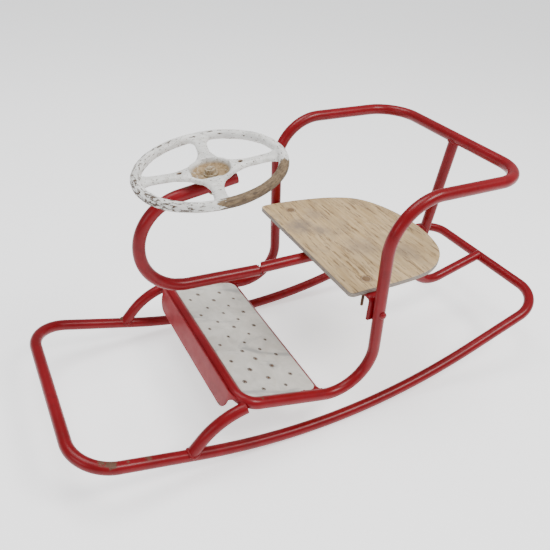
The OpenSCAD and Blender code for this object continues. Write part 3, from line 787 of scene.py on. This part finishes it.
# ---------------------------------------------------------------- tubes
ROCK_PTS = [(HW, -RF, ZF), (HW, YV, ZV), (HW, RR, ZR), (-HW, RR, ZR), (-HW, YV, ZV), (-HW, -RF, ZF)]
ROCK_RAD = [RC, ROCK_R, RC, RC, ROCK_R, RC]
SEAT_PTS = [(HW, RUN_Y, RUN_Z), (HW, HEEL_Y, HEEL_Z), (HW, ARM_Y, ARM_Z), (HW, BACK_Y, BACK_Z),
            (-HW, BACK_Y, BACK_Z), (-HW, ARM_Y, ARM_Z), (-HW, HEEL_Y, HEEL_Z), (-HW, RUN_Y, RUN_Z)]
SEAT_RAD = [35, 81, 93, 72, 72, 93, 81, 35]


def loop_line(pts, radii):
    s = (Vector(pts[-1]) + Vector(pts[0])) / 2
    line = route([s] + list(pts) + [s], [0] + list(radii) + [0])
    return line[:-1]


ROCK_LINE = loop_line(ROCK_PTS, ROCK_RAD)
SEAT_LINE = loop_line(SEAT_PTS, SEAT_RAD)


def tubes():
    v, f = sweep(ROCK_LINE, RO, 36, closed=True)
    add("rocker_loop", v, f, RED_BASE, nodes=["rocker_frame"])
    v, f = sweep(SEAT_LINE, RO, 36, closed=True)
    add("seat_loop", v, f, RED_SEAT, nodes=["seat_frame"])
    # struts, ends rounded off where they are welded on
    sy = -364.0
    sz = ZF - tan(FD) * (sy + RF)
    k = math.tan(rad(46))
    vy = (RUN_Z - 10 - 0.06 * RUN_Y - sz + k * sy) / (k - 0.06)
    vz = sz + k * (vy - sy)
    ey = RUN_Y - 4
    for s, nm in ((1, "left"), (-1, "right")):
        line = route([(s * HW, sy + 2, sz + 2 * k), (s * HW, vy, vz), (s * HW, ey, vz + 0.06 * (ey - vy))], [0, 130, 0], 1.5)
        n = len(line)
        step = sum((line[i + 1] - line[i]).length for i in range(n - 6, n - 1)) / 5

        def prof(t):
            left = (1 - t) * (n - 1) * step  # distance to the rounded end
            e = 1.0
            if left < 10.5:
                q = 1 - left / 10.5
                e = math.sqrt(max(0.02, 1 - q * q * 0.98))
            return e
        v, f = sweep(line, RO, 36, rad_at=prof)
        add(nm + "_strut_tube", v, f, RED_SEAT, nodes=[nm + "_strut"])
        p = Vector((s * HW, sy + 26, sz + 26 * k))
        weld(nm + "_strut_foot_weld", p, Vector((0, -1, -k)), RO - 0.6, [c for c in ROCK_LINE if (c - p).length < 70], RO + 0.3, RED_BASE, 2.7, seed=s * 3.1)
        q = Vector((s * HW, RUN_Y - 24, vz + 0.06 * (RUN_Y - 24 - vy)))
        weld(nm + "_strut_top_weld", q, Vector((0, 1, 0.06)), RO - 1.0, [c for c in SEAT_LINE if (c - q).length < 80], RO + 0.4, RED_SEAT, 2.1, seed=s * 5.7, reach=30)
    # steering column
    jy = -126.5
    line = route([(0, jy + 1.35, low_z(jy)), (0, C_FRONT, low_z(C_FRONT)), (0, C_FRONT, top_z(C_FRONT)), (0, -168, top_z(-168))], [0, 89, 89, 0], 5.0)
    v, f = hollow(line, RO, RO - WALL, 36, cut0=mouth, cut1=Vector((0, 1, 0.1)))
    sharp(add("column_tube", v, f, RED_COL, nodes=["steering_column"]), 50)
    # spine
    by = 276.0
    line = route([(0, jy + 1.6, spine_z(jy + 1.6)), (0, by, spine_z(by))], [0, 0], 6.0)
    v, f = hollow(line, RO, RO - WALL, 36, cut0=Vector((0.4686, 0.8834, 0)))
    sharp(add("spine", v, f, RED_SEAT, nodes=["spine_tube"]), 50)
    # back post
    pz = (90.5 + 0.19 * (302 - 353.3 * 0.2 - 359)) / (1 - 0.19 * 0.2)
    py = 302 + 0.2 * (pz - 353.3)
    line = route([(0, 302 + 0.2 * (BACK_Z - 353.3), BACK_Z - 3), (0, py, pz), (0, RR - 4, 90.5 + 0.19 * (RR - 4 - 359))], [0, 72, 0], 5.0)
    v, f = sweep(line, RO, 36)
    add("back_post_tube", v, f, RED_SEAT, nodes=["back_post"])
    up = Vector((0, 0.2, 1)).normalized()
    p = Vector((0, 302 + 0.2 * (400 - 353.3), 400))
    weld("post_top_weld", p, up, RO - 0.5, [c for c in SEAT_LINE if (c - p).length < 90], RO + 0.3, RED_SEAT, 2.5, seed=2.2)
    p = Vector((0, 440, 90.5 + 0.19 * (440 - 359)))
    weld("post_foot_weld", p, Vector((0, 1, 0.19)), RO - 0.5, [c for c in ROCK_LINE if (c - p).length < 90], RO + 0.3, RED_BASE, 2.7, seed=4.4)
    p = Vector((0, 240, spine_z(240)))
    post = [Vector((0, 302 + 0.2 * (z - 353.3), z)) for z in range(200, 280, 3)]
    weld("spine_post_weld", p, Vector((0, 1, -tan(SEAT_D))), RO - 0.5, post, RO + 0.3, RED_SEAT, 2.5, seed=6.1)
    # lower part of the butt joint between column and spine
    pts = []
    for i in range(25):
        a = rad(165 + 225 * i / 24)
        pts.append(Vector((10.4 * math.cos(a), jy + 1.5 + 0.5 * math.sin(a * 3), low_z(jy) + 0.5 + 10.4 * math.sin(a))))
    v, f = sweep(pts, 1.5, 10, seed=3.3, rough=0.7)
    add("column_spine_weld", v, f, RED_COL)


# ---------------------------------------------------------------- seat
SEAT_EDGE = [(171, -34), (170.8, -10), (171, 15), (171.8, 40), (171.8, 63), (170, 100), (166.7, 127), (159.7, 150), (146, 175), (124.5, 199), (98, 215.5), (62, 226), (23, 230.3),
             (-10, 229.5), (-38, 224.9), (-65.6, 218), (-90.5, 208.8), (-113, 197), (-131.7, 182.8), (-146.5, 165), (-156.5, 144), (-164.5, 122), (-170.5, 99), (-174.7, 75),
             (-178.2, 51), (-180.6, 27), (-182.2, 3), (-182.7, -20), (-182.5, -36)]


def outline():
    e = [Vector(p) for p in SEAT_EDGE]
    pts = []
    for i in range(len(e) - 1):
        a, b, c, d = e[max(0, i - 1)], e[i], e[i + 1], e[min(len(e) - 1, i + 2)]
        for k in range(6):
            t = k / 6
            q = 0.5 * (2 * b + (c - a) * t + (2 * a - 5 * b + 4 * c - d) * t * t + (3 * b - a - 3 * c + d) * t * t * t)
            pts.append((q.x, q.y))
    pts.append((e[-1].x, e[-1].y))
    for i in range(1, 10):
        pts.append((-182.5 + 10 - 10 * cos(i * 10), -36 - 10 * sin(i * 10)))
    for i in range(1, 60):
        pts.append((-172.5 + (161 + 172.5) * i / 60, -46.0))
    for i in range(0, 9):
        pts.append((161 + 10 * sin(i * 10), -36 - 10 * cos(i * 10)))
    return pts


def seat():
    base = outline()
    n = len(base)
    verts, faces = [], []
    cx, cy = -5.0, 60.0

    def ring(inset, z, nz):
        b = len(verts)
        for (x, y) in base:
            d = Vector((x - cx, y - cy))
            L = d.length
            q = d * ((L - inset) / L)
            X, Y = q.x + cx, q.y + cy
            w = 0.35 * noise.noise(Vector((X * 0.05, Y * 0.05, z))) * nz
            e = 0.45 * max(0.0, noise.noise(Vector((X * 0.11, Y * 0.11, 7)))) * (1 if 0 < z + 10.2 else 0)
            k = 1 - e * (1 if inset < 2.5 else 0) / L
            verts.append(Vector(((X - cx) * k + cx, (Y - cy) * k + cy, z + w)))
        return b

    rings = []
    rings.append(ring(40, -10, 0.2))
    rings.append(ring(1.2, -10, 0.2))
    rings.append(ring(0.3, -9.6, 0))
    rings.append(ring(0, -8.8, 0))
    for z in (-6.6, -4.4):
        rings.append(ring(0.15 if z == -6.6 else 0.0, z, 0))
    rings.append(ring(0, -1.7, 0))
    rings.append(ring(0.45, -0.75, 0))
    rings.append(ring(1.2, -0.22, 0.2))
    rings.append(ring(2.4, 0.0, 0.3))
    for ins in (5, 9, 15, 24, 36, 50, 66, 84):
        rings.append(ring(ins, 0.0, 0.5))
    for k in range(len(rings) - 1):
        for j in range(n):
            a, b = rings[k] + j, rings[k] + (j + 1) % n
            faces.append((a, b, rings[k + 1] + (j + 1) % n, rings[k + 1] + j))
    c0 = len(verts)
    verts.append(Vector((cx, cy, -10)))
    verts.append(Vector((cx, cy, 0)))
    for j in range(n):
        faces.append((rings[0] + (j + 1) % n, rings[0] + j, c0))
        faces.append((rings[-1] + j, rings[-1] + (j + 1) % n, c0 + 1))
    o = add("seat_panel", verts, faces, PLY, nodes=["seat_board"], local=M_SEAT)
    sharp(o, 55)
    for sx in (-1, 1):
        v, f = revolve([(0, -3.6), (3.2, -4.2), (7.4, -0.1), (8.3, 0.28), (9.6, 0.05), (9.0, -3.0), (5.0, -6.0), (0, -6.0)], 40)
        p = [Vector((q.x * (1 + 0.05 * noise.noise(q * 0.4)) + sx * 142, q.y + 7, q.z + 0.12 * noise.noise(q * 0.5))) for q in v]
        add("seat_hole_rim_" + ("l" if sx > 0 else "r"), p, f, PLYHOLE, local=M_SEAT)


# ---------------------------------------------------------------- bolts
def dome(hd, hh, d, l, thread=0.0):
    pr = [(0, -l), (d / 2 - 0.7, -l), (d / 2, -l + 0.7)]
    if thread:
        z = -l + 1.0
        while z < -l + thread:
            pr += [(d / 2 - 0.05, z), (d / 2 - 0.45, z + 0.5)]
            z += 1.0
    pr += [(d / 2, -0.3), (d / 2 + 0.3, 0.0), (hd / 2 - 0.3, 0.0), (hd / 2, 0.25), (hd / 2 - 0.05, hh * 0.22)]
    for i in range(1, 9):
        a = rad(12 + 78 * i / 8)
        pr.append((hd / 2 * math.cos(a) * 1.0, hh * (0.18 + 0.82 * math.sin(a))))
    pr[-1] = (0, hh)
    return pr


def bolts():
    pr = [q for q in dome(14, 3.2, 6, 60, 26) if q[1] < -0.5]
    pr += [(3.0, -4.3), (6.5, -0.85), (6.7, -0.6), (6.5, -0.38), (5.2, -0.30), (1.5, -0.26), (0, -0.26)]
    v, f = revolve(pr, 40)
    V, F = [], []
    for s in (-1, 1):
        k = len(V)
        V += [Vector((p.x + s * 142, p.y + 7, p.z)) for p in v]
        F += [tuple(i + k for i in q) for q in f]
    sharp(add("seat_bolt_pair", V, F, RUSTY, nodes=["seat_bolts"], local=M_SEAT), 50)
    v, f = revolve(dome(14, 5, 6, 38, 12), 40)
    V, F = [], []
    for s in (-1, 1):
        k = len(V)
        V += [Vector((s * (HW + RO + p.z), BAR_Y - 0.4 + p.x, SEAT_Z - 36.3 + p.y)) for p in v]
        F += [tuple(i + k for i in q) for q in f]
    sharp(add("side_bolt_pair", V, F, painted_bolt("red_bolt"), nodes=["crossbar_bolts"]), 50)
    for nm in ("seat_bolt_washers", "seat_bolt_nuts", "crossbar_bolt_washers", "crossbar_bolt_nuts", "lower_wheel_washer"):
        cad(nm, STEEL)
    cad("upper_wheel_washer", HUBTAN)
    cad("spindle_nut", HUBTAN)
    cad("wheel_spindle", HUBTAN)
    cad("wheel_bush", RUSTY)


def cad(nm, mat):
    o = NODES[nm]
    o.data.materials.clear()
    o.data.materials.append(mat)


# ---------------------------------------------------------------- crossbar strap
def crossbar():
    bh = HW - RO - 0.05
    t, w, leg = 6.0, 25.0, 48.0
    path = []
    zt = -SEAT_T
    # outer line of the strap: foot, corner, top, corner, foot
    ro_, ri_ = 10.0, 4.0
    outer, inner = [], []
    outer.append((bh, zt - leg)); inner.append((bh - t, zt - leg))
    for i in range(9):
        a = rad(90.0 * i / 8)
        outer.append((bh - ro_ + ro_ * math.cos(a), zt - ro_ + ro_ * math.sin(a)))
        inner.append((bh - ro_ + ri_ * math.cos(a), zt - ro_ + ri_ * math.sin(a)))
    O = outer + [(-x, z) for x, z in reversed(outer)]
    I = inner + [(-x, z) for x, z in reversed(inner)]
    verts, faces = [], []
    n = len(O)
    for k in range(n):
        o_, i_ = Vector(O[k]), Vector(I[k])
        d = (i_ - o_).normalized()
        c = 0.9
        for (p, y) in ((o_, -w / 2 + c), (o_, w / 2 - c), (o_ + d * c * 0.6, w / 2 - 0.15), (o_ + d * (t / 2), w / 2), (i_ - d * c * 0.6, w / 2 - 0.15), (i_, w / 2 - c), (i_, -w / 2 + c), (i_ - d * c * 0.6, -w / 2 + 0.15), (o_ + d * (t / 2), -w / 2), (o_ + d * c * 0.6, -w / 2 + 0.15)):
            verts.append(Vector((p.x, y, p.y)))
    m = 10
    for k in range(n - 1):
        for j in range(m):
            faces.append((k * m + j, k * m + (j + 1) % m, (k + 1) * m + (j + 1) % m, (k + 1) * m + j))
    faces.append(tuple(range(m)))
    faces.append(tuple((n - 1) * m + j for j in reversed(range(m))))
    sharp(add("crossbar_strap", verts, faces, RED_MISC, nodes=["seat_crossbar"], local=M_SEAT), 60)


# ---------------------------------------------------------------- footplate
HOLES = [(-120, 29, .2), (-63, 30, .35), (-15, 29, .2), (38, 28, .3), (88, 29, .45), (147, 28.6, .8),
         (-140, 55, 1.), (-89, 56, .2), (-38, 57, .25), (13, 58, .2), (61, 66, .6), (116, 55.4, 1.), (171, 56, .5),
         (-117, 83, .8), (-68, 84, .2), (-18, 85.4, .7), (35, 84, .2), (86.3, 82.4, .9), (142.9, 81.2, .8),
         (-147, 110, .7), (-95, 109, .2), (-44, 108, .2), (8, 108, .15), (59, 107, .25), (110.8, 106.7, 1.1), (167, 106.3, .4),
         (-122, 134, .2), (-70, 133.7, .8), (-20, 134.2, .8), (30, 135, .25), (78.8, 134.6, .55), (139, 133.1, .7)]


def footplate():
    cad("footplate", PLATE)
    V, F = [], []
    N = 22
    for hi, (x, u, dark) in enumerate(HOLES):
        r2 = random.Random(100 + hi)
        tall = r2.uniform(0.35, 0.6) + 0.5 * dark
        big = 0.80 + 0.45 * dark
        prof = [(1.75, -1.3), (1.85, 0.25 * tall), (2.15, tall), (2.55, 0.82 * tall), (3.1, 0.35 * tall), (4.1, 0.02), (4.4, -0.25), (2.4, -0.9)]
        b = len(V)
        for (r, z) in prof:
            r = r * big
            for j in range(N):
                a = 2 * math.pi * j / N
                q = Vector((x + r * math.cos(a), u + r * math.sin(a), z))
                rag = noise.noise(Vector((q.x * 0.9, q.y * 0.9, hi * 1.7)))
                zz = 6 + z * (1 + 0.55 * rag) if z > 0.1 else 6 + z
                rr_ = 1 + 0.10 * rag
                V.append(Vector((x + r * rr_ * math.cos(a), u + r * rr_ * math.sin(a), zz)))
        m = len(prof)
        for k in range(m):
            for j in range(N):
                F.append((b + k * N + j, b + k * N + (j + 1) % N, b + ((k + 1) % m) * N + (j + 1) % N, b + ((k + 1) % m) * N + j))
    add("plate_burrs", V, F, BURR, local=M_FOOT)
    # dark cups set into the punched holes as painted shade, wider where a hole is darker
    V, F = [], []
    for hi, (x, u, dark) in enumerate(HOLES):
        big = (0.80 + 0.45 * dark) * (0.75 if dark < 0.3 else 1.12)
        v, f = revolve([(0, -0.9), (0.9 * big, -0.55), (1.5 * big, 0.0), (2.0 * big, 0.30), (1.7 * big, -0.9), (0, -1.9)], 14)
        k = len(V)
        V += [Vector((x + p.x, u + p.y, 6 + p.z + 0.15 * noise.noise(p + Vector((hi * 3.1, 0, 0))))) for p in v]
        F += [tuple(i + k for i in q) for q in f]
    add("plate_hole_shade_cups", V, F, HOLE_SHADE, local=M_FOOT)
    # rear strip under the plate, ends flared into the rails
    sh, pu, t = 186.9, 165.0, 4.0
    top = [(-sh, pu - 36), (-sh + 9, pu - 26), (-sh + 16, pu - 18), (sh - 16, pu - 18), (sh - 9, pu - 26), (sh, pu - 36),
           (sh, pu + 13), (sh - 2, pu + 9.8), (sh - 7, pu + 7), (-sh + 7, pu + 7), (-sh + 2, pu + 9.8), (-sh, pu + 13)]
    verts, faces = [], []
    n = len(top)
    c = Vector((0, pu - 6))
    for (ins, z) in ((0.6, 0.0), (0.0, 0.5), (0.0, 3.5), (0.6, 4.0)):
        for (x, y) in top:
            dx = -ins if x > 0 else ins
            dy = -ins if y > pu - 6 else ins
            verts.append(Vector((x + (dx if abs(x) < sh - 1 else 0), y + dy, z)))
    for k in range(3):
        for j in range(n):
            faces.append((k * n + j, k * n + (j + 1) % n, (k + 1) * n + (j + 1) % n, (k + 1) * n + j))
    faces.append(tuple(reversed(range(n))))
    faces.append(tuple(3 * n + j for j in range(n)))
    sharp(add("rear_strip", verts, faces, RED_MISC, nodes=["footplate_strip"], local=M_FOOT), 40)
    # weld beads along strip ends
    for s in (-1, 1):
        pts = [Vector((s * 187.6, pu - 37 + 50 * i / 24, 4.4 + 0.5 * noise.noise(Vector((i * 0.6, s, 0))))) for i in range(25)]
        v, f = sweep(pts, 1.9, 10, seed=9.0 + s, rough=0.9)
        add("strip_weld_" + ("l" if s > 0 else "r"), v, f, RED_MISC, local=M_FOOT)


def skirt():
    hr, rin, t, h, cr = HW - 35.0, 35.0 + RO + 0.1, 2.0, 41.0, 28.0
    a1 = math.degrees(math.asin((HW - RO - 1.5 - hr) / (35 + RO + 0.1 + 2.0)))
    half = []  # centre x, centre u, direction, lowest t; from the middle to the left end
    run = [142.0 * i / 26 for i in range(26)] + [142.0 + cr * math.sin(rad(90 * i / 16)) for i in range(17)]
    end = hr + rad(a1) * 47
    run += [170.0 + (end - 170.0) * i / 8 for i in range(1, 9)]
    for sx in run:
        if sx <= 142.0:
            lo = -h
        elif sx <= 170.0:
            lo = -13.0 - math.sqrt(max(0.0, cr * cr - (sx - 142.0) ** 2))
        else:
            lo = -13.0 + 15.0 * ((sx - 170.0) / (end - 170.0)) ** 0.8
        if sx <= hr:
            half.append((sx, 35.0, 0.0, -1.0, lo))
        else:
            a = -math.pi / 2 + (sx - hr) / 47
            half.append((hr, 35.0, math.cos(a), math.sin(a), lo))
    pts = half[::-1] + [(-p[0], p[1], -p[2], p[3], p[4]) for p in half[1:]]
    rows = [(0.0, 0.6), (0.012, 0.15), (0.05, 0), (0.14, 0), (0.26, 0), (0.38, 0), (0.5, 0), (0.62, 0), (0.74, 0), (0.86, 0), (0.95, 0), (0.988, 0.15), (1.0, 0.6)]
    verts, faces = [], []
    n = len(pts)

    def put(r, row, sgn):
        b = len(verts)
        f, ins = row
        for (cx, cy, dx, dy, lo) in pts:
            z = lo + (5.0 - lo) * f
            X, Y = cx + dx * r, cy + dy * r
            dent = 0.75 * noise.noise(Vector((X * 0.018, 3.0, z * 0.045))) * max(0.0, min(1.0, (-8 - z) / 20))
            k = r - sgn * ins + dent
            verts.append(Vector((cx + dx * k, cy + dy * k, z)))
        return b

    outer = [put(rin + t, r, 1) for r in rows]
    inner = [put(rin + 0.1, r, -1) for r in rows]
    R = outer + inner[::-1]
    for k in range(len(R)):
        a0, b0 = R[k], R[(k + 1) % len(R)]
        for j in range(n - 1):
            faces.append((a0 + j, a0 + j + 1, b0 + j + 1, b0 + j))
    faces.append(tuple(R))
    faces.append(tuple(q + n - 1 for q in reversed(R)))
    sharp(add("skirt_sheet", verts, faces, RED_SKIRT, nodes=["front_skirt"], local=M_FOOT), 50)
    # seam weld between the sheet's top edge and the tube
    for s, x0, x1 in ((1, 0.0, 158.0), (-1, -158.0, -1.0)):
        line = [Vector((x0 + (x1 - x0) * i / 80, -RO - 0.6, 5.2 + 0.35 * noise.noise(Vector((i * 0.35, s, 1))))) for i in range(81)]
        v, f = sweep(line, 1.15, 8)
        v = [q + (q - line[min(80, k // 8)]) * 0.30 * noise.noise(q * 0.16) for k, q in enumerate(v)]
        add("skirt_weld_" + ("l" if s > 0 else "r"), v, f, RED_SEAT, local=M_FOOT)


# ---------------------------------------------------------------- steering wheel
def wheel():
    R, r, H = 121.8, 9.0, 32.7
    low = RO + 2
    hub = low + 0.3
    flo = hub + 6.5
    V, F = [], []

    def join(v, f):
        b = len(V)
        V.extend(Vector(p) for p in v)
        F.extend(tuple(i + b for i in q) for q in f)

    # rim, a little flatter than round, as cast
    N, S = 200, 28
    v, f = [], []
    for i in range(N):
        a = 2 * math.pi * i / N
        for j in range(S):
            b = 2 * math.pi * j / S
            rr_ = R + r * math.cos(b)
            zz = H + r * 0.93 * math.sin(b)
            v.append((rr_ * math.cos(a), rr_ * math.sin(a), zz))
            f.append((i * S + j, i * S + (j + 1) % S, ((i + 1) % N) * S + (j + 1) % S, ((i + 1) % N) * S + j))
    join(v, f)
    # hub with its dished recess; the bore is closed here by the bush
    join(*revolve([(0, hub), (21, hub), (24.5, hub + 1.2), (27.5, hub + 4), (34.5, H - 13.5), (40, H - 10), (41.5, H - 6.5), (40.6, H - 2.8), (38, H - 1.1), (35.8, H - 1.6),
                   (33.4, H - 4.6), (30.5, H - 9.5), (27.5, flo + 2.2), (23.5, flo + 0.4), (19, flo), (0, flo)], 96))
    # spokes: rounded section, wide at hub and rim
    for k in range(4):
        A = rad(-13 + 90 * k)
        v, f = [], []
        n, S2 = 30, 24
        for i in range(n + 1):
            t = i / n
            d = 33.5 + (R - 1.5 - 33.5) * t
            w = 10.6 + 12.5 * max(0.0, 1 - t / 0.42) ** 1.8 + (16.0 * ((t - 0.66) / 0.34) ** 2.3 if t > 0.66 else 0)
            h = 5.4 + 1.6 * max(0.0, 1 - t / 0.3) + 1.6 * max(0.0, (t - 0.8) / 0.2)
            zc = H - 6.2 + 3.8 * t
            for j in range(S2):
                b = 2 * math.pi * j / S2
                cb, sb = math.cos(b), math.sin(b)
                yy = w * math.copysign(abs(cb) ** 0.72, cb)
                zz = zc + h * math.copysign(abs(sb) ** 0.80, sb)
                v.append((d * math.cos(A) - yy * math.sin(A), d * math.sin(A) + yy * math.cos(A), zz))
        for i in range(n):
            for j in range(S2):
                f.append((i * S2 + j, i * S2 + (j + 1) % S2, (i + 1) * S2 + (j + 1) % S2, (i + 1) * S2 + j))
        f.append(tuple(reversed(range(S2))))
        f.append(tuple(n * S2 + j for j in range(S2)))
        join(v, f)
    o = add("wheel_casting", V, F, WHEEL, body="wheel", nodes=["steering_wheel"], local=M_WHEEL)
    # fuse the pieces into one casting with soft fillets
    bpy.context.view_layer.objects.active = o
    md = o.modifiers.new("fuse", 'REMESH')
    md.mode = 'VOXEL'
    md.voxel_size = 0.0015
    md.use_smooth_shade = True
    sm = o.modifiers.new("soft", 'SMOOTH')
    sm.factor = 0.5
    sm.iterations = 7
    dg = bpy.context.evaluated_depsgraph_get()
    me = bpy.data.meshes.new_from_object(o.evaluated_get(dg))
    o.modifiers.clear()
    old = o.data
    o.data = me
    bpy.data.meshes.remove(old)
    me.materials.clear()
    me.materials.append(WHEEL)
    me.polygons.foreach_set("use_smooth", [True] * len(me.polygons))
    # casting ripple, and the two small holes on opposite spokes
    Mi = (M_REST @ M_WHEEL).inverted()
    Mf = M_REST @ M_WHEEL
    for vt in me.vertices:
        p = Mi @ vt.co
        nz = noise.noise(p * 0.045) * 0.45 + noise.noise(p * 0.14 + Vector((5, 1, 2))) * 0.16
        nr = (Mi.to_3x3() @ vt.normal).normalized()
        p = p + nr * nz
        for a in (77, 257):
            dx = p.x - 51 * cos(a)
            dy = p.y - 51 * sin(a)
            d = math.hypot(dx, dy)
            if d < 4.4 and p.z > H - 8:
                k = min(1.0, max(0.0, (4.4 - d) / 1.6))
                p.z -= 5.0 * k * k * (3 - 2 * k)
        vt.co = Mf @ p
    me.update()


def tan_hub():
    m, nt, b = mat_new("hub_tan")
    g = G(nt)
    n1 = g.noise(190, 6, 0.7, 0.6)
    n2 = g.noise(620, 4, 0.6)
    col = g.mix(g.ramp(n1, [(0.38, 0.0), (0.60, 1.0)]), (0.40, 0.33, 0.22), (0.22, 0.14, 0.065))
    col = g.mix(g.ramp(n2, [(0.55, 0.0), (0.7, 0.7)]), col, (0.62, 0.58, 0.50))
    g.link(col, b.inputs["Base Color"])
    g.link(g.math("ADD", g.math("MULTIPLY", n1, 0.3), 0.5), b.inputs["Roughness"])
    g.link(g.bump(n1, 0.6, 0.0006, g.bump(n2, 0.4, 0.0003)), b.inputs["Normal"])
    return m


HUBTAN = tan_hub()

camera()
stage()
tubes()
seat()
bolts()
crossbar()
footplate()
skirt()
wheel()
